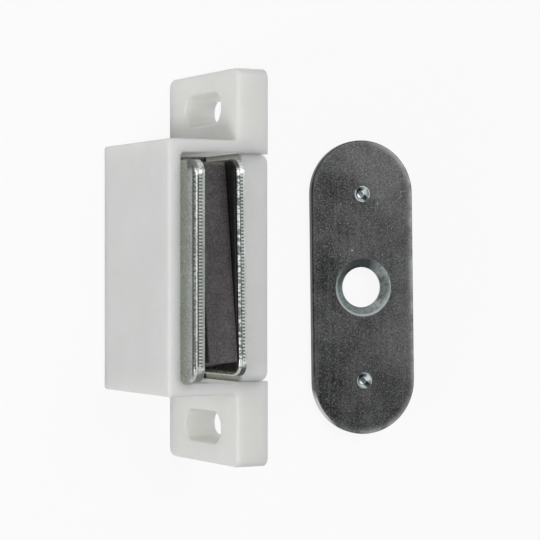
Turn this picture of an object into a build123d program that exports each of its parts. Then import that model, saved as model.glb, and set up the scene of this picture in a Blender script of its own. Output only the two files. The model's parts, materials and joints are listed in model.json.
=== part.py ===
"""Magnetic catch: screw-on plastic body with a floating magnet pack, and its countersunk strike plate.

Frame, millimetres. The origin is the centre of the mounting face. +X is that face's outward normal,
so the body lies at negative X. Y runs along the body, and +Z points out of its mouth at the strike plate.
"""
from build123d import *
import math
import os

# ---- Housing ----
overall_length = 50.0
body_height = 13.85
body_depth = 20.0
box_length = 31.8
ear_thickness = 4.4
roof_wall = 1.7
end_wall = 1.65
back_wall = 1.6
edge_round = 0.45
ear_corner_round = 1.25
mounting_edge_round = 0.25
root_round = 0.35
mouth_corner_round = 0.6
mouth_edge_round = 0.2

# ---- Screw slots, one in each ear ----
slot_inset = 0.05
slot_length = 10.4
slot_width = 2.9
slot_neck = 1.0
slot_mouth_width = 4.2
slot_mouth_round = 0.35

# ---- Ribs inside the housing ----
seat_rib_height = 3.4
seat_rib_width = 1.6
seat_rib_spacing = 18.0
stop_rib_depth = 1.5
stop_rib_height = 2.0
stop_rib_level = 9.0
cover_groove_radius = 0.35

# ---- Base cover ----
cover_thickness = 4.12
cover_recess = 0.15
cover_front_recess = 0.03
cover_side_clearance = 0.03
cover_corner_round = 1.2
cover_bead_radius = 0.25
cover_bead_length = 8.0

# ---- Magnet pack ----
plate_thickness = 1.45
inner_plate_thickness = 1.08
plate_end_clearance = 0.55
inner_plate_shortfall = 0.5
outer_plate_drop = 0.4
plate_overhang = 3.0
plate_nose_round = 2.0
plate_heel_round = 0.8
roof_clearance = 0.35
cover_clearance = 0.45
seat_clearance = 0.1
pack_travel = 0.8
notch_side_clearance = 0.2
notch_end_clearance = 0.05
inner_plate_turn = 0.85
magnet_end_inset = 1.25
magnet_shift = 0.17
magnet_depth = 11.0
magnet_gap = 0.55
magnet_tilt = 6.4
magnet_recess = 1.67
magnet_chamfer = 0.1

# ---- Front edge of a pole plate, in bands across its thickness ----
rolled_band = 0.45
rolled_round = 0.22
groove_band = 0.14
groove_depth = 0.16
serrated_band = 0.52
tooth_pitch = 0.41
tooth_depth = 0.13
tooth_margin = 1.7
smooth_step = 0.04

# ---- Strike plate ----
strike_length = 40.8
strike_width = 14.8
strike_thickness = 1.2
strike_bore = 5.6
strike_sink = 7.9
strike_sink_depth = 0.85
strike_edge_round = 0.25
strike_corner_break = 0.1
pip_spacing = 25.9
pip_height = 1.5
pip_root_radius = 0.8
pip_tip_radius = 0.25
pip_embed = 0.1
dent_radius = 1.0
dent_floor_radius = 0.5
dent_depth = 0.6
strike_place_x = 24.4
strike_place_y = -2.68
strike_turn = 0.8

# ---- Worked out from the sizes above ----
back_z = -body_depth / 2
front_z = body_depth / 2
slot_spacing = (overall_length + box_length) / 2 - 2 * slot_inset
roof_inner_x = -(body_height - roof_wall)
cavity_half = box_length / 2 - end_wall
cavity_floor_z = back_z + back_wall
cover_inner_x = -(cover_recess + cover_thickness)
seat_z = cavity_floor_z + seat_rib_height
stop_rib_low = back_z + stop_rib_level
stop_rib_high = stop_rib_low + stop_rib_height
plate_heel_z = seat_z + seat_clearance
plate_nose_z = front_z + plate_overhang
plate_depth = plate_nose_z - plate_heel_z
plate_length = 2 * (cavity_half - plate_end_clearance)
inner_plate_length = plate_length - inner_plate_shortfall
outer_plate_x = roof_inner_x + roof_clearance
inner_plate_x = cover_inner_x - cover_clearance - inner_plate_thickness
magnet_length = plate_length - 2 * magnet_end_inset
magnet_thickness = inner_plate_x - outer_plate_x - plate_thickness - magnet_gap
notch_end = cavity_half - stop_rib_depth - notch_side_clearance - outer_plate_drop
notch_low = stop_rib_low - plate_heel_z - pack_travel - notch_end_clearance
notch_high = stop_rib_high - plate_heel_z + notch_end_clearance
cover_middle_x = -(cover_recess + cover_thickness / 2)
groove_length = cover_bead_length + 2 * cover_side_clearance
edge_tolerance = 0.01
cut_margin = 1.0


def span(low, high):
    """A solid box between two opposite corners."""
    size = [b - a for a, b in zip(low, high)]
    middle = [(a + b) / 2 for a, b in zip(low, high)]
    return Pos(*middle) * Box(*size)


def slot_tool():
    """A slot along Z through an ear: straight sides at the mounting face, then flared to the outside."""
    neck = Rot(0, 0, 90) * SlotOverall(slot_length, slot_width)
    mouth = Rot(0, 0, 90) * SlotOverall(slot_length, slot_mouth_width)
    flare = loft([Plane.YZ.offset(-slot_neck) * neck, Plane.YZ.offset(-ear_thickness) * mouth])
    return extrude(Plane.YZ * neck, slot_neck, both=True) + flare


def edges_at(part, axis, value):
    """Edges whose middle lies at one value of an axis."""
    return part.edges().filter_by_position(axis, value - edge_tolerance, value + edge_tolerance)


def make_outer_form():
    """The tall block and the two ears in one, before anything is cut out of it."""
    block = span((-body_height, -box_length / 2, back_z), (0, box_length / 2, front_z))
    ears = span((-ear_thickness, -overall_length / 2, back_z), (0, overall_length / 2, front_z))
    body = block + ears
    roots = edges_at(body, Axis.X, -ear_thickness).filter_by(Axis.Z)
    roots = roots.filter_by_position(Axis.Y, -slot_spacing / 2, slot_spacing / 2)
    body = fillet(roots, root_round)
    corners = edges_at(body, Axis.X, -ear_thickness / 2).filter_by(Axis.X)
    body = fillet(corners, ear_corner_round)

    foot = body.faces().sort_by(Axis.X)[-1]
    flat_half = overall_length / 2 - ear_corner_round - edge_tolerance
    rims = edges_at(body, Axis.Z, front_z) + edges_at(body, Axis.Z, back_z)
    rims = rims.filter_by_position(Axis.Y, -flat_half, flat_half)
    rims += edges_at(body, Axis.X, -body_height).filter_by(Axis.Z)
    for side in (-1, 1):
        reach = sorted((side * flat_half, side * overall_length))
        rims += edges_at(body, Axis.X, -ear_thickness).filter_by_position(Axis.Y, *reach)
    body = fillet(rims - foot.edges(), edge_round)
    return fillet(body.faces().sort_by(Axis.X)[-1].edges(), mounting_edge_round)


def make_housing():
    """Body with its two ears, open at the mouth and at the mounting face."""
    body = make_outer_form()
    above_mouth = front_z + cut_margin
    cavity = span((roof_inner_x, -cavity_half, cavity_floor_z), (cover_inner_x, cavity_half, above_mouth))
    roof_corners = edges_at(cavity, Axis.X, roof_inner_x).filter_by(Axis.Z)
    body -= fillet(roof_corners, mouth_corner_round)
    rim = edges_at(body, Axis.Z, front_z)
    rim = rim.filter_by_position(Axis.Y, -cavity_half, cavity_half)
    rim = rim.filter_by_position(Axis.X, roof_inner_x, cover_inner_x - edge_tolerance)
    body = fillet(rim, mouth_edge_round)
    body -= span((cover_inner_x, -cavity_half, cavity_floor_z), (cut_margin, cavity_half, above_mouth))

    for side in (-1, 1):
        slot_y = side * slot_spacing / 2
        body -= Pos(0, slot_y, 0) * slot_tool()
        mouth = edges_at(body, Axis.X, -ear_thickness)
        reach = sorted((slot_y - slot_mouth_width, slot_y + slot_mouth_width))
        mouth = mouth.filter_by_position(Axis.Y, *reach)
        body = fillet(mouth, slot_mouth_round)

    for side in (-1, 1):
        body += make_stop_rib(side)
        body += make_seat_rib(side)
        body -= Pos(cover_middle_x, side * cavity_half, 0) * Cylinder(cover_groove_radius, groove_length)
    return body


def make_stop_rib(side):
    """A rib on an end wall that stands in the notches of both pole plates."""
    inner = side * (cavity_half - stop_rib_depth)
    outer = side * cavity_half
    low = (roof_inner_x, min(inner, outer), stop_rib_low)
    high = (cover_inner_x, max(inner, outer), stop_rib_high)
    return span(low, high)


def make_seat_rib(side):
    """A rib on the cavity floor that the pole plates stand on."""
    middle = side * seat_rib_spacing / 2
    low = (roof_inner_x, middle - seat_rib_width / 2, cavity_floor_z)
    high = (cover_inner_x, middle + seat_rib_width / 2, seat_z)
    return span(low, high)


def make_base_cover():
    """The snap-in plate that closes the mounting side and ends at the mouth."""
    half = cavity_half - cover_side_clearance
    low = (cover_inner_x, -half, cavity_floor_z + cover_side_clearance)
    high = (-cover_recess, half, front_z - cover_front_recess)
    cover = span(low, high)
    corners = edges_at(cover, Axis.X, -cover_recess).filter_by(Axis.Z)
    cover = fillet(corners, cover_corner_round)
    mouth_edge = edges_at(cover, Axis.X, cover_inner_x).filter_by(Axis.Y).sort_by(Axis.Z)[-1]
    cover = fillet(mouth_edge, mouth_edge_round)
    for side in (-1, 1):
        cover += Pos(cover_middle_x, side * half, 0) * Cylinder(cover_bead_radius, cover_bead_length)
    return cover


def plate_outline(length):
    """Side view of a pole plate, square to its thickness, with a notch in each end for the stop ribs."""
    half = length / 2
    outline = Pos(0, plate_depth / 2) * Rectangle(length, plate_depth)
    nose = outline.vertices().group_by(Axis.Y)[-1]
    outline = fillet(nose, plate_nose_round)
    heel = outline.vertices().group_by(Axis.Y)[0]
    outline = fillet(heel, plate_heel_round)
    notch_size = (2 * (half - notch_end), notch_high - notch_low)
    for side in (-1, 1):
        outline -= Pos(side * half, (notch_low + notch_high) / 2) * Rectangle(*notch_size)
    return outline


def band(outline, start, width):
    """A flat slice of a pole plate, between two places across its thickness."""
    return extrude(Plane.YZ.offset(start) * outline, width)


def make_pole_plate(length, thickness):
    """Pole plate with its heel on the XY plane: rolled edge, groove, fine teeth, then a smooth land."""
    outline = plate_outline(length)
    plate = band(outline, 0, thickness)
    rim = plate.faces().sort_by(Axis.X)[0].edges()
    plate = fillet(rim.filter_by_position(Axis.Z, notch_high, plate_depth), rolled_round)

    share = thickness / plate_thickness
    groove_start = share * rolled_band
    teeth_start = share * (rolled_band + groove_band)
    land_start = share * (rolled_band + groove_band + serrated_band)
    plate -= nose_strip(groove_start, teeth_start, groove_depth, length)
    plate -= nose_strip(land_start, thickness, smooth_step, length)
    return plate - tooth_gaps(teeth_start, land_start - teeth_start, length)


def nose_strip(start, end, depth, length):
    """A straight strip along a plate's nose, to cut one band of it back by a depth."""
    return span((start, -length / 2, plate_depth - depth), (end, length / 2, plate_depth))


def tooth_gaps(start, width, length):
    """The notches that leave a row of fine teeth along the straight part of a plate's nose."""
    corners = [(-tooth_pitch / 2, 0), (0, -tooth_depth), (tooth_pitch / 2, 0)]
    gap = make_face(Polyline(*corners, close=True))
    tooth_count = int((length - 2 * tooth_margin) / tooth_pitch)
    gaps = []
    for index in range(tooth_count):
        along = (index - (tooth_count - 1) / 2) * tooth_pitch
        sketch = Plane.YZ.offset(start) * Pos(along, plate_depth) * gap
        gaps.append(extrude(sketch, width))
    return gaps


def make_magnet():
    """Block magnet, centred on the origin, square."""
    block = Box(magnet_thickness, magnet_length, magnet_depth)
    return chamfer(block.edges(), magnet_chamfer)


def make_strike_plate():
    """Obround plate, face up: countersunk hole, and two pips pressed through to the back."""
    outline = SlotOverall(strike_length, strike_width)
    plate = extrude(Rot(0, 0, 90) * outline, strike_thickness)
    plate = fillet(plate.faces().sort_by(Axis.Z)[-1].edges(), strike_edge_round)
    plate = chamfer(plate.faces().sort_by(Axis.Z)[0].edges(), strike_corner_break)
    plate -= Cylinder(strike_bore / 2, 2 * (strike_thickness + cut_margin))
    sink = Cone(strike_bore / 2, strike_sink / 2, strike_sink_depth)
    plate -= Pos(0, 0, strike_thickness - strike_sink_depth / 2) * sink
    for side in (-1, 1):
        place = Pos(0, side * pip_spacing / 2, 0)
        plate += place * make_pip()
        dent = Cone(dent_floor_radius, dent_radius, dent_depth)
        plate -= place * Pos(0, 0, strike_thickness - dent_depth / 2) * dent
    return plate


def make_pip():
    """A pointed pip with a round tip, hanging below the XY plane."""
    root = pip_root_radius
    shoulder = (pip_tip_radius, pip_tip_radius - pip_height)
    point = (0, -pip_height)
    profile = make_face(
        Polyline((0, pip_embed), (root, pip_embed), (root, 0), shoulder)
        + RadiusArc(shoulder, point, pip_tip_radius)
        + Line(point, (0, pip_embed))
    )
    return revolve(Plane.XZ * profile, Axis.Z)


def lay_strike_plate(plate):
    """Rest the plate on its two pips and one long edge, as it comes to lie on a table."""
    lean = math.atan2(pip_height, strike_width / 2)
    plate = Rot(0, -math.degrees(lean), 0) * plate
    plate = Pos(0, 0, back_z - plate.bounding_box().min.Z) * plate
    return Pos(strike_place_x, strike_place_y, 0) * (Rot(0, 0, strike_turn) * plate)


def main():
    """Build every piece and write one file for each."""
    outer_pose = Pos(outer_plate_x, -outer_plate_drop, plate_heel_z)
    inner_pose = Pos(inner_plate_x, 0, plate_heel_z) * Rot(0, 0, inner_plate_turn)
    magnet_lift = plate_nose_z - magnet_recess - magnet_depth / 2 - plate_heel_z
    magnet_place = Pos(-magnet_thickness / 2, magnet_shift, magnet_lift) * Rot(-magnet_tilt, 0, 0)
    pieces = {
        "housing": make_housing(),
        "base_cover": make_base_cover(),
        "outer_pole_plate": outer_pose * make_pole_plate(plate_length, plate_thickness),
        "inner_pole_plate": inner_pose * make_pole_plate(inner_plate_length, inner_plate_thickness),
        "magnet": inner_pose * magnet_place * make_magnet(),
        "strike_plate": lay_strike_plate(make_strike_plate()),
    }
    os.makedirs("parts", exist_ok=True)
    for name, piece in pieces.items():
        export_step(piece, f"parts/{name}.step")


main()
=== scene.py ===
"""Blender look of the magnetic catch: materials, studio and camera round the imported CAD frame."""
import bpy
import json
import math
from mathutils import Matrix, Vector
from types import SimpleNamespace


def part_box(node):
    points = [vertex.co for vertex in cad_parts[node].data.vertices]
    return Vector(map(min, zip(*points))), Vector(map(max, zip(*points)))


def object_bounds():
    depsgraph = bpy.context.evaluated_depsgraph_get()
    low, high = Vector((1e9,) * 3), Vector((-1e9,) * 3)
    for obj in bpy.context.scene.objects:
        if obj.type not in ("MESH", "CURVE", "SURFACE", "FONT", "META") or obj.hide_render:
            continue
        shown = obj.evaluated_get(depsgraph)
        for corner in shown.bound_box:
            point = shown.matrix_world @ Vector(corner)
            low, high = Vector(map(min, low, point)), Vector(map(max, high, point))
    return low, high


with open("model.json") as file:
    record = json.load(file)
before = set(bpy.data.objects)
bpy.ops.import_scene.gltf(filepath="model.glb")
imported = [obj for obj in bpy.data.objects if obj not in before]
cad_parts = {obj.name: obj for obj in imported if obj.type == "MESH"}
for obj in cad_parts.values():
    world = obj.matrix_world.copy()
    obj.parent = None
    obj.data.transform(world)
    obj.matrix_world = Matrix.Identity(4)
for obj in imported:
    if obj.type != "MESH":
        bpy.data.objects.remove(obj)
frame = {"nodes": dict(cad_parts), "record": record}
cad_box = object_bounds()
MM = 0.001

# Sizes of the catch that its materials follow and that the frame doesn't state.
EAR_THICKNESS = 4.4 * MM
NOSE_ROUND = 2.2 * MM
STRIKE_HALF_WIDTH = 7.4 * MM
STRIKE_HALF_RUN = 13.0 * MM
SINK_RADIUS = 3.9 * MM
DENT_RADIUS = 0.85 * MM
DENT_OFFSET = 12.95 * MM


def srgb(r, g, b):
    """Linear colour from 8-bit display values."""
    out = []
    for v in (r, g, b):
        v /= 255.0
        out.append(v / 12.92 if v <= 0.04045 else ((v + 0.055) / 1.055) ** 2.4)
    return (*out, 1.0)


# ------------------------------------------------------------------ node helpers
class Mat:
    """A small builder round one node material. Every value may be a number or a socket."""

    def __init__(self, name):
        self.mat = bpy.data.materials.new(name)
        self.mat.use_nodes = True
        self.tree = self.mat.node_tree
        self.tree.nodes.clear()
        self.out = self.add("ShaderNodeOutputMaterial")
        self.coord = self.add("ShaderNodeTexCoord").outputs["Object"]

    def add(self, kind, **values):
        """A node with its properties and inputs set by name."""
        node = self.tree.nodes.new(kind)
        for key, value in values.items():
            if hasattr(node, key):
                setattr(node, key, value)
            else:
                self.put(node.inputs[key.replace("_", " ")], value)
        return node

    def put(self, socket, value):
        """Link a socket or set a number."""
        if isinstance(value, bpy.types.NodeSocket):
            self.tree.links.new(value, socket)
        else:
            socket.default_value = value

    def noise(self, scale, detail=4.0, roughness=0.55, stretch=None):
        """Noise from 0 to 1 over object coordinates, drawn out along an axis by a small stretch."""
        vector = self.coord
        if stretch:
            mapping = self.add("ShaderNodeMapping")
            mapping.inputs["Scale"].default_value = stretch
            self.put(mapping.inputs["Vector"], vector)
            vector = mapping.outputs["Vector"]
        node = self.add("ShaderNodeTexNoise", Scale=scale, Detail=detail, Roughness=roughness)
        self.put(node.inputs["Vector"], vector)
        return node.outputs["Fac"]

    def ramp(self, fac, low, high, to_low=0.0, to_high=1.0):
        """Straight line between two values, held beyond them."""
        node = self.add("ShaderNodeMapRange", From_Min=low, From_Max=high, To_Min=to_low, To_Max=to_high)
        self.put(node.inputs["Value"], fac)
        return node.outputs["Result"]

    def fall(self, fac, low, high):
        """1 up to the first value and 0 from the second."""
        return self.ramp(fac, low, high, 1.0, 0.0)

    def mix(self, fac, a, b):
        """Colour a turning into colour b as fac goes from 0 to 1."""
        node = self.add("ShaderNodeMix", data_type="RGBA")
        self.put(node.inputs[0], fac)
        self.put(node.inputs[6], a)
        self.put(node.inputs[7], b)
        return node.outputs[2]

    def math(self, operation, a, b=0.0):
        node = self.add("ShaderNodeMath", operation=operation)
        self.put(node.inputs[0], a)
        self.put(node.inputs[1], b)
        return node.outputs[0]

    def times(self, a, b):
        return self.math("MULTIPLY", a, b)

    def plus(self, a, b):
        return self.math("ADD", a, b)

    def minus(self, a, b):
        return self.math("SUBTRACT", a, b)

    def size(self, a):
        return self.math("ABSOLUTE", a)

    def length(self, a, b):
        """Distance of a point from two offsets at right angles."""
        return self.math("SQRT", self.plus(self.times(a, a), self.times(b, b)))

    def vector(self, operation, a, b):
        node = self.add("ShaderNodeVectorMath", operation=operation)
        self.put(node.inputs[0], a)
        self.put(node.inputs[1], b)
        return node.outputs["Value" if operation == "DOT_PRODUCT" else "Vector"]

    def all_of(self, *masks):
        """Where every mask is 1."""
        total = masks[0]
        for mask in masks[1:]:
            total = self.times(total, mask)
        return total

    def split(self):
        """The x, y and z of a point on the object."""
        node = self.add("ShaderNodeSeparateXYZ")
        self.put(node.inputs[0], self.coord)
        return node.outputs

    def bump(self, height, strength, distance, normal=None):
        node = self.add("ShaderNodeBump", Strength=strength, Distance=distance)
        self.put(node.inputs["Height"], height)
        if normal is not None:
            self.put(node.inputs["Normal"], normal)
        return node.outputs["Normal"]

    def shader(self, **values):
        """The principled shader on the material's surface."""
        node = self.add("ShaderNodeBsdfPrincipled", **values)
        self.tree.links.new(node.outputs[0], self.out.inputs["Surface"])


# ------------------------------------------------------------------ white plastic
def cavity_mask(m, x, y, z):
    """The thin walls round the magnet pack, inside the mouth."""
    low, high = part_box("outer_pole_plate")
    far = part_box("inner_pole_plate")[1]
    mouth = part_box("housing")[1].z
    level = m.size(y)
    return m.all_of(
        m.ramp(x, low.x - 1.0 * MM, low.x - 0.6 * MM),
        m.fall(x, far.x + 0.6 * MM, far.x + 0.9 * MM),
        m.fall(level, high.y + 1.1 * MM, high.y + 1.4 * MM),
        m.fall(z, mouth - 0.16 * MM, mouth - 0.01 * MM),
        m.ramp(z, low.z - 0.6 * MM, low.z - 0.3 * MM),
    )


def slot_mask(m, x, y, z):
    """The walls of the two screw slots."""
    slot = next(mount for mount in frame["record"]["mounts"] if "slot" in mount["name"])
    middle = abs(slot["pos_m"][1])
    half_width = slot["dims"]["hole_r_mm"] * MM
    half_length = slot["dims"]["slot_length_mm"] / 2 * MM
    return m.all_of(
        m.fall(m.size(m.minus(m.size(y), middle)), half_width + 0.10 * MM, half_width + 0.30 * MM),
        m.fall(m.size(z), half_length + 0.3 * MM, half_length + 1.3 * MM),
        m.ramp(x, -EAR_THICKNESS + 0.02 * MM, -EAR_THICKNESS + 0.15 * MM),
    )


def make_plastic(name, tones):
    """Moulded white plastic, satin and slightly translucent; its thin walls let light through. The cavity
    walls carry painted light and shade: a warm tint, darker near the outer plate and paler towards the
    inner plate, for light glowing through the thin plastic. The slot walls are painted paler as painted
    light.
    """
    m = Mat(name)
    x, y, z = m.split()
    cavity = cavity_mask(m, x, y, z)
    slot = slot_mask(m, x, y, z)
    outer_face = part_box("outer_pole_plate")[1].x
    inner_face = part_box("inner_pole_plate")[0].x
    across = m.ramp(x, outer_face + 1.8 * MM, inner_face)

    cloud = m.noise(110, 3.0)
    grit = m.noise(3600, 3.0, 0.7)
    # painted light and shade: the cavity walls get a warm tint, darker near the outer plate and paler
    # towards the inner plate, for light glowing through the thin plastic
    cavity_painted_glow = m.mix(across, srgb(222, 218, 204), srgb(255, 248, 222))
    colour = m.mix(m.ramp(cloud, 0.35, 0.65), srgb(*tones[0]), srgb(*tones[1]))
    # painted light: the slot walls are painted paler than the housing to lift their shade
    colour = m.mix(slot, colour, srgb(244, 244, 238))
    colour = m.mix(cavity, colour, cavity_painted_glow)
    colour = m.mix(m.ramp(grit, 0.35, 0.65, 0.0, 0.07), colour, srgb(196, 196, 193))
    rough = m.ramp(m.noise(800, 4.0), 0.3, 0.7, 0.36, 0.5)
    normal = m.bump(m.noise(260, 2.0), 0.10, 0.15 * MM, m.bump(grit, 0.35, 0.02 * MM))

    # How far light of each colour travels in the plastic: the walls of the cavity are yellowish.
    wall_hue = m.mix(across, (1.0, 0.97, 0.80, 1), (1.0, 0.96, 0.62, 1))
    hue = m.mix(cavity, (1.0, 0.97, 0.88, 1), wall_hue)
    wall_path = m.times(cavity, m.ramp(across, 0.0, 1.0, 16.0 * MM, 160.0 * MM))
    path = m.math("MAXIMUM", wall_path, m.times(slot, 6.0 * MM))
    path = m.math("MAXIMUM", path, 3.8 * MM)
    m.shader(
        Base_Color=colour,
        Roughness=rough,
        Normal=normal,
        IOR=1.49,
        Subsurface_Weight=1.0,
        Subsurface_Radius=hue,
        Subsurface_Scale=path,
    )
    return m.mat


# ------------------------------------------------------------------ zinc-plated pole plates
# Tones of each pole plate, the strength of its dark nicks, and how strongly painted shade and painted dark
# reflections are laid on its land, shoulder, groove, tooth gaps and corners.
OUTER_FINISH_AND_SHADE = SimpleNamespace(
    faces=((178, 183, 179), (192, 196, 193), (170, 180, 176)),
    nose=((172, 177, 174), (200, 204, 201)),
    turn=0.0,
    land=0.6,
    nicks=0.35,
    shoulder=1.0,
    groove=0.8,
    tooth_gap_shade=0.72,
    corner=0.75,
    beside_magnet=False,
)
INNER_FINISH_AND_SHADE = SimpleNamespace(
    faces=((176, 180, 174), (190, 194, 186), (170, 176, 164)),
    nose=((188, 193, 190), (214, 218, 215)),
    turn=0.85,
    land=0.2,
    nicks=0.85,
    shoulder=0.1,
    groove=0.1,
    tooth_gap_shade=0.72,
    corner=0.95,
    beside_magnet=True,
)


def plate_places(m, node, turn):
    """Coordinates and masks of a pole plate, from its own box and its small turn in degrees."""
    low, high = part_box(node)
    middle = (low + high) / 2
    lean = math.tan(math.radians(turn))
    thickness = (high.x - low.x) - lean * (high.y - low.y)
    left = middle.x + lean * middle.y - thickness / 2
    straight = (high.y - low.y) / 2 - NOSE_ROUND
    nose = high.z
    x, y, z = m.split()
    across = m.plus(x, m.times(y, lean))
    along = m.size(m.minus(y, middle.y))

    inside = m.fall(along, straight, straight + 0.3 * MM)
    front = m.ramp(z, nose - 0.5 * MM, nose - 0.25 * MM)
    body = m.ramp(across, left + 0.30 * thickness, left + 0.32 * thickness)
    sunk = m.fall(z, nose - 0.10 * MM, nose - 0.015 * MM)
    teeth = m.all_of(body, front, inside)
    # painted dark reflection: a dark line on the outer side just below the rolled edge
    roll_dark_reflection = m.all_of(
        m.ramp(z, nose - 0.70 * MM, nose - 0.45 * MM),
        m.fall(z, nose - 0.24 * MM, nose - 0.12 * MM),
        m.fall(across, left + 0.02 * MM, left + 0.12 * MM),
    )
    # painted dark reflection on the outer half of the rolled edge
    shoulder = m.all_of(
        m.fall(across, left + 0.18 * MM, left + 0.28 * MM),
        m.ramp(z, nose - 0.55 * MM, nose - 0.35 * MM),
        m.fall(along, straight + 0.5 * MM, straight + 1.0 * MM),
    )
    # painted shade: a dark band in the groove behind the rolled edge
    groove = m.all_of(
        m.ramp(across, left + 0.40 * MM, left + 0.46 * MM),
        m.fall(across, left + 0.60 * MM, left + 0.66 * MM),
        front,
        inside,
    )
    # painted dark reflections round the upper and lower nose corners
    upper_corner = m.all_of(
        m.ramp(y, 0.0, 1.0 * MM),
        m.fall(across, left + 0.38 * thickness, left + 0.52 * thickness),
    )
    lower_corner = m.all_of(
        m.fall(y, -1.0 * MM, 0.0),
        m.ramp(across, left + 0.25 * thickness, left + 0.40 * thickness),
    )
    corner = m.all_of(
        m.ramp(along, straight + 0.6 * MM, straight + 1.2 * MM),
        m.ramp(z, nose - 2.3 * MM, nose - 1.7 * MM),
        m.plus(upper_corner, lower_corner),
    )
    return SimpleNamespace(
        y=y,
        z=z,
        across=across,
        left=left,
        nose=nose,
        inside=inside,
        front=front,
        toothed=m.ramp(teeth, 0.0, 1.0, 1.0, 0.35),
        # painted shade between the teeth
        tooth_gap_shade=m.times(sunk, teeth),
        roll_dark_reflection=roll_dark_reflection,
        shoulder=shoulder,
        groove=groove,
        # painted dark reflection: the smooth land behind the teeth
        land=m.all_of(m.ramp(across, left + 0.72 * thickness, left + 0.80 * thickness), front),
        corner=corner,
        # painted shade: the side faces darken towards the cavity
        deep=m.fall(z, nose - 3.6 * MM, nose - 1.4 * MM),
    )


def plated_faces(m, at, finish_and_shade, streak, speck):
    """Colour of the plating: greenish faces with painted shade deep towards the cavity, a streaky nose, a
    land darkened as painted dark reflection, bright specks as painted glints, and dark specks.
    """
    cloud = m.noise(160, 4.0)
    face = m.mix(m.ramp(cloud, 0.38, 0.62), srgb(*finish_and_shade.faces[0]), srgb(*finish_and_shade.faces[1]))
    # painted shade: a darker greenish tone deep towards the cavity
    face = m.mix(m.times(at.deep, 0.6), face, srgb(*finish_and_shade.faces[2]))
    nose = m.mix(m.ramp(streak, 0.35, 0.65), srgb(*finish_and_shade.nose[0]), srgb(*finish_and_shade.nose[1]))
    colour = m.mix(at.front, face, nose)
    # painted dark reflection on the land
    colour = m.mix(m.times(at.land, finish_and_shade.land), colour, srgb(112, 117, 113))
    # painted glints: bright specks, strongest off the teeth
    colour = m.mix(m.all_of(m.ramp(speck, 0.55, 0.66, 0.0, 0.60), at.toothed), colour, srgb(226, 230, 228))
    return m.mix(m.all_of(m.ramp(speck, 0.45, 0.34, 0.0, 0.50), at.toothed), colour, srgb(80, 84, 82))


def knocked_and_shaded_roll(m, at, finish_and_shade, colour):
    """Painted dark reflection just below the roll, dark nicks and, beside the magnet, a mottle on the
    rolled edge.
    """
    # painted dark reflection below the roll
    colour = m.mix(m.times(at.roll_dark_reflection, 0.8), colour, srgb(56, 58, 57))
    nicks = m.all_of(
        at.front,
        m.ramp(m.noise(3000, 2.0, stretch=(0.5, 1, 1)), 0.42, 0.36),
        m.fall(at.across, at.left + 0.55 * MM, at.left + 0.65 * MM),
    )
    colour = m.mix(m.times(nicks, finish_and_shade.nicks), colour, srgb(58, 61, 60))
    if not finish_and_shade.beside_magnet:
        return colour
    mottle = m.ramp(m.noise(2600, 2.0, stretch=(0.3, 1, 0.3)), 0.58, 0.44, 0.0, 0.85)
    rolled = m.fall(at.across, at.left + 0.40 * MM, at.left + 0.50 * MM)
    return m.mix(m.all_of(mottle, rolled, at.front, at.inside), colour, srgb(84, 88, 86))


def shaded_hollows(m, at, finish_and_shade, colour):
    """Painted shade and painted dark reflections on the shoulder, in the groove, between the teeth and
    round the corners.
    """
    patch = m.times(at.shoulder, m.ramp(m.noise(3400, 3.0), 0.36, 0.60, 0.5, 0.95))
    colour = m.mix(m.times(patch, finish_and_shade.shoulder), colour, srgb(62, 65, 64))
    colour = m.mix(m.times(at.groove, finish_and_shade.groove), colour, srgb(44, 50, 54))
    colour = m.mix(m.times(at.tooth_gap_shade, finish_and_shade.tooth_gap_shade), colour, srgb(54, 57, 56))
    return m.mix(m.times(at.corner, finish_and_shade.corner), colour, srgb(66, 68, 68))


def face_beside_magnet(m, at, colour):
    """The inner face: painted shade beside the magnet and painted light below the magnet's end."""
    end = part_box("magnet")[0].y
    face = m.fall(at.across, at.left + 0.05 * MM, at.left + 0.15 * MM)
    shaded_beside_magnet = m.all_of(
        face,
        m.ramp(at.y, end - 0.3 * MM, end + 0.1 * MM),
        m.fall(at.z, at.nose - 1.0 * MM, at.nose - 0.6 * MM),
    )
    painted_bright_patch = m.times(face, m.fall(at.y, end - 0.3 * MM, end + 0.1 * MM))
    # painted shade beside the magnet, then painted light below its end
    colour = m.mix(m.times(shaded_beside_magnet, 0.9), colour, srgb(84, 84, 82))
    return m.mix(m.times(painted_bright_patch, 0.8), colour, srgb(236, 238, 228))


def make_zinc(name, node, finish_and_shade):
    """Zinc-plated steel of a pole plate, with a rolled edge and a toothed nose, and painted shade, painted
    dark reflections and painted light on its hollows, corners and inner face.
    """
    m = Mat(name)
    at = plate_places(m, node, finish_and_shade.turn)
    streak = m.noise(700, 4.0, stretch=(1, 0.25, 1))
    speck = m.noise(5200, 2.0)
    colour = plated_faces(m, at, finish_and_shade, streak, speck)
    colour = knocked_and_shaded_roll(m, at, finish_and_shade, colour)
    colour = shaded_hollows(m, at, finish_and_shade, colour)
    if finish_and_shade.beside_magnet:
        colour = face_beside_magnet(m, at, colour)
    rough = m.ramp(streak, 0.3, 0.7, 0.20, 0.36)
    fine = m.bump(m.noise(3600, 3.0), 0.30, 0.02 * MM)
    normal = m.bump(streak, 0.20, 0.05 * MM, fine)
    m.shader(Base_Color=colour, Metallic=1.0, Roughness=rough, Normal=normal)
    return m.mat


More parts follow.
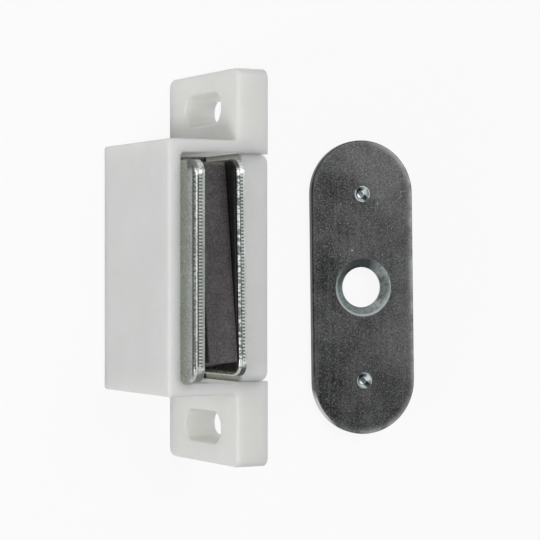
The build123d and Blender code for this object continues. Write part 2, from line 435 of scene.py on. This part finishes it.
# ------------------------------------------------------------------ magnet
def make_ferrite():
    """Sintered ferrite: dull purple-brown black, mottled and gritty, with a painted highlight along its
    upper edge.
    """
    m = Mat("ferrite_magnet")
    y = m.split()[1]
    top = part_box("magnet")[1].y
    cloud = m.noise(260, 4.0, 0.6)
    grit = m.noise(4300, 3.0, 0.7)
    colour = m.mix(m.ramp(cloud, 0.35, 0.65), srgb(69, 67, 68), srgb(82, 77, 78))
    # painted highlight: a paler band along the top edge
    edge = m.ramp(y, top - 0.45 * MM, top - 0.33 * MM)
    colour = m.mix(m.times(edge, 0.2), colour, srgb(170, 166, 162))
    colour = m.mix(m.ramp(grit, 0.52, 0.64, 0.0, 0.60), colour, srgb(118, 113, 114))
    colour = m.mix(m.ramp(grit, 0.48, 0.36, 0.0, 0.60), colour, srgb(40, 37, 38))
    rough = m.ramp(m.noise(900, 4.0), 0.3, 0.7, 0.55, 0.8)
    normal = m.bump(grit, 0.35, 0.03 * MM)
    m.shader(Base_Color=colour, Roughness=rough, Normal=normal, Specular_IOR_Level=0.4)
    return m.mat


# ------------------------------------------------------------------ strike plate
def strike_places(m):
    """Coordinates across (u) and along (v) the leaning plate, with its rim, countersink and dents."""
    mount = next(mount for mount in frame["record"]["mounts"] if mount["name"] == "strike_bore")
    up = Vector(mount["axis"]).normalized()
    along = Vector((-up.y, up.x, 0)).normalized()
    along = along if along.y > 0 else -along
    place = m.vector("SUBTRACT", m.coord, Vector(mount["pos_m"]))
    u = m.vector("DOT_PRODUCT", place, along.cross(up))
    v = m.vector("DOT_PRODUCT", place, along)

    beyond = m.math("MAXIMUM", m.minus(m.size(v), STRIKE_HALF_RUN), 0.0)
    off = m.minus(m.size(v), DENT_OFFSET)
    bore = m.length(u, v)
    slant = m.size(m.plus(u, m.times(m.math("SIGN", v), m.times(off, 0.8))))
    pressed = m.fall(m.length(u, off), DENT_RADIUS, DENT_RADIUS + 0.30 * MM)
    return SimpleNamespace(
        u=u,
        v=v,
        reach=m.length(u, beyond),
        bore=bore,
        sink=m.fall(bore, SINK_RADIUS, SINK_RADIUS + 0.20 * MM),
        pressed=pressed,
        crescent=m.times(pressed, m.ramp(slant, 0.30 * MM, 0.62 * MM)),
        hollow=m.times(pressed, m.fall(slant, 0.22 * MM, 0.42 * MM)),
    )


def mottled_and_lit_steel(m, at, brush, speck):
    """Dark rolled face: clouds, painted light that grows lighter across the plate towards one side and one
    end, lengthwise brushing and grain.
    """
    # painted light: a gradient lighter towards one side and one end of the plate, with a gentle wave along
    # it
    wave = m.times(m.math("SINE", m.times(at.v, 209.0)), -0.13)
    painted_light_drift = m.plus(m.plus(m.times(at.u, 40.0), m.times(at.v, 10.0)), wave)
    clouds = m.plus(m.times(m.noise(140, 4.0), 1.5), m.times(m.noise(480, 3.0), 0.7))
    tone = m.plus(clouds, painted_light_drift)
    colour = m.mix(m.ramp(tone, 0.65, 1.55), srgb(36, 36, 37), srgb(75, 75, 75))
    colour = m.mix(m.ramp(brush, 0.5, 0.75, 0.0, 0.40), colour, srgb(84, 85, 85))
    colour = m.mix(m.ramp(brush, 0.46, 0.26, 0.0, 0.40), colour, srgb(36, 36, 37))
    colour = m.mix(m.ramp(speck, 0.52, 0.66, 0.0, 0.52), colour, srgb(106, 108, 107))
    return m.mix(m.ramp(speck, 0.48, 0.34, 0.0, 0.58), colour, srgb(27, 27, 28))


def rubbed_and_lit_edges(m, at, colour):
    """Rim rubbed pale, with painted highlight making it brighter on one side, a painted highlight arc at
    the lower end and a few knocks.
    """
    rim = m.ramp(at.reach, STRIKE_HALF_WIDTH - 1.30 * MM, STRIKE_HALF_WIDTH - 0.10 * MM)
    # painted highlight: the rubbed rim is made stronger on one side
    side = m.ramp(m.plus(at.u, m.times(at.v, -0.15)), -3.0 * MM, 4.0 * MM, 0.12, 1.0)
    wear_and_highlight = m.all_of(m.math("POWER", rim, 2.8), side, m.ramp(m.noise(500, 3.0), 0.35, 0.6, 0.35, 1.0))
    colour = m.mix(m.times(wear_and_highlight, 0.9), colour, srgb(152, 155, 153))
    # painted highlight: a bright thin arc at the lower end
    painted_bright_patch = m.all_of(
        m.ramp(at.reach, STRIKE_HALF_WIDTH - 0.24 * MM, STRIKE_HALF_WIDTH - 0.10 * MM),
        m.fall(at.u, -5.5 * MM, -4.0 * MM),
        m.fall(at.v, -15.5 * MM, -14.0 * MM),
    )
    colour = m.mix(m.times(painted_bright_patch, 0.9), colour, srgb(196, 198, 196))
    knock = m.ramp(m.noise(900, 2.0, stretch=(1, 0.6, 1)), 0.72, 0.78, 0.0, 0.5)
    return m.mix(knock, colour, srgb(150, 152, 150))


def countersink_steel(m, at):
    """Turned cone with painted shade and reflections: dark towards its upper side, paler to the right,
    scuffed, with a painted highlight on its lower lip.
    """
    turned = m.math("DIVIDE", at.v, m.math("MAXIMUM", at.bore, 1.0 * MM))
    # painted shade and reflection: the cone is dark towards its upper side and paler to the right
    ring = m.mix(m.ramp(turned, -0.1, 0.95), srgb(130, 139, 139), srgb(54, 58, 59))
    ring = m.mix(m.ramp(at.u, 1.0 * MM, 3.0 * MM, 0.0, 0.5), ring, srgb(186, 196, 196))
    ring = m.mix(m.ramp(m.noise(2400, 3.0), 0.42, 0.66, 0.0, 0.55), ring, srgb(66, 72, 74))
    # painted highlight on the lower lip
    lip = m.ramp(at.bore, SINK_RADIUS - 0.20 * MM, SINK_RADIUS - 0.05 * MM)
    return m.mix(m.times(lip, m.ramp(turned, -0.3, 0.6, 0.8, 0.0)), ring, srgb(176, 184, 184))


def make_strike_steel():
    """Dark satin steel with rubbed edges, painted light on its rim, and painted highlights and shade in
    the countersink and the dents.
    """
    m = Mat("dark_satin_steel")
    at = strike_places(m)
    brush = m.noise(1500, 4.0, stretch=(1, 0.05, 1))
    speck = m.noise(4800, 3.0, 0.7)
    colour = mottled_and_lit_steel(m, at, brush, speck)
    colour = rubbed_and_lit_edges(m, at, colour)
    colour = m.mix(m.times(at.sink, 0.9), colour, countersink_steel(m, at))
    # painted highlight: bright crescents in the dents
    colour = m.mix(m.times(at.crescent, 0.9), colour, srgb(222, 230, 232))
    # painted shade: a dark slash across each dent
    colour = m.mix(m.times(at.hollow, 0.5), colour, srgb(92, 100, 103))
    polish = m.ramp(m.math("MAXIMUM", at.sink, at.pressed), 0.0, 1.0, 1.0, 0.6)
    rough = m.times(m.ramp(brush, 0.3, 0.7, 0.30, 0.44), polish)
    normal = m.bump(brush, 0.15, 0.02 * MM, m.bump(speck, 0.20, 0.02 * MM))
    m.shader(Base_Color=colour, Metallic=1.0, Roughness=rough, Normal=normal)
    return m.mat


def dress(name, material):
    """Give a CAD node its one material."""
    node = frame["nodes"][name]
    node.data.materials.clear()
    node.data.materials.append(material)


def soften(name, width):
    """Round the sharp rims that the solid leaves, with a small bevel."""
    node = frame["nodes"][name]
    weld = node.modifiers.new("weld", "WELD")
    weld.merge_threshold = 0.002 * MM
    bevel = node.modifiers.new("soft_rims", "BEVEL")
    bevel.width = width
    bevel.segments = 3
    bevel.limit_method = "ANGLE"
    bevel.angle_limit = math.radians(28)
    bevel.harden_normals = False
    even = node.modifiers.new("even_faces", "WEIGHTED_NORMAL")
    even.keep_sharp = False


dress("housing", make_plastic("white_plastic_housing", ((231, 231, 227), (237, 237, 233))))
dress("base_cover", make_plastic("white_plastic_cover", ((239, 239, 236), (245, 245, 242))))
dress("outer_pole_plate", make_zinc("zinc_outer_plate", "outer_pole_plate", OUTER_FINISH_AND_SHADE))
dress("inner_pole_plate", make_zinc("zinc_inner_plate", "inner_pole_plate", INNER_FINISH_AND_SHADE))
dress("magnet", make_ferrite())
dress("strike_plate", make_strike_steel())
soften("strike_plate", 0.10 * MM)


# ------------------------------------------------------------------ studio
def make_floor(reach, gap):
    """A pale floor just under the catch, which the camera and reflections see as white."""
    z = cad_box[0].z - gap
    corners = [(-reach, -reach, z), (reach, -reach, z), (reach, reach, z), (-reach, reach, z)]
    mesh = bpy.data.meshes.new("floor")
    mesh.from_pydata(corners, [], [(0, 1, 2, 3)])
    floor = bpy.data.objects.new("floor", mesh)
    bpy.context.scene.collection.objects.link(floor)
    m = Mat("studio_floor")
    seen = seen_directly(m.tree)
    diffuse = m.add("ShaderNodeBsdfDiffuse", Color=(0.86, 0.86, 0.86, 1))
    glow = m.add("ShaderNodeEmission", Color=(1, 1, 1, 1))
    blend = m.add("ShaderNodeMixShader")
    m.put(blend.inputs[0], m.times(seen, 0.9))
    m.put(blend.inputs[1], diffuse.outputs[0])
    m.put(blend.inputs[2], glow.outputs[0])
    m.put(m.out.inputs["Surface"], blend.outputs[0])
    mesh.materials.append(m.mat)


def seen_directly(tree):
    """1 for camera, glossy and transmission rays, which see the white background."""
    path = tree.nodes.new("ShaderNodeLightPath")
    seen = path.outputs["Is Camera Ray"]
    for ray in ("Is Glossy Ray", "Is Transmission Ray"):
        either = tree.nodes.new("ShaderNodeMath")
        either.operation = "MAXIMUM"
        tree.links.new(seen, either.inputs[0])
        tree.links.new(path.outputs[ray], either.inputs[1])
        seen = either.outputs[0]
    return seen


def make_world(light, strength):
    """Soft light from all round, with a white background where it is seen."""
    world = bpy.data.worlds.new("studio")
    bpy.context.scene.world = world
    world.use_nodes = True
    tree = world.node_tree
    tree.nodes.clear()
    out = tree.nodes.new("ShaderNodeOutputWorld")
    blend = tree.nodes.new("ShaderNodeMixShader")
    tree.links.new(seen_directly(tree), blend.inputs[0])
    for index, colour, level in ((1, light, strength), (2, (1, 1, 1, 1), 1.0)):
        background = tree.nodes.new("ShaderNodeBackground")
        background.inputs["Color"].default_value = colour
        background.inputs["Strength"].default_value = level
        tree.links.new(background.outputs[0], blend.inputs[index])
    tree.links.new(blend.outputs[0], out.inputs["Surface"])


def lamp(name, place, size, power):
    """A round softbox aimed at the catch."""
    data = bpy.data.lights.new(name, "AREA")
    data.shape = "DISK"
    data.size = size
    data.energy = power
    obj = bpy.data.objects.new(name, data)
    bpy.context.scene.collection.objects.link(obj)
    obj.location = place
    obj.rotation_mode = "QUATERNION"
    obj.rotation_quaternion = (-Vector(place)).to_track_quat("-Z", "Y")


def make_camera(place, tilt, lens):
    """The photograph's viewpoint: above the mouth and to the left, tilted about Y."""
    data = bpy.data.cameras.new("camera")
    data.sensor_width = 36.0
    data.lens = lens
    data.clip_start = 0.01
    data.clip_end = 10.0
    camera = bpy.data.objects.new("camera", data)
    bpy.context.scene.collection.objects.link(camera)
    camera.location = place
    camera.rotation_euler = (0.0, -math.radians(tilt), 0.0)
    bpy.context.scene.camera = camera


make_floor(reach=3.0, gap=0.02 * MM)
make_world(light=(0.975, 0.985, 1.0, 1), strength=0.32)
make_camera(place=(-0.11855, -0.00029, 0.2331), tilt=28.03, lens=134.1)
lamp("key", place=(-0.54, -0.17, 0.19), size=0.16, power=1.25)
lamp("fill", place=(0.09, 0.24, 0.58), size=0.50, power=1.36)
bpy.context.scene.view_settings.view_transform = "Standard"
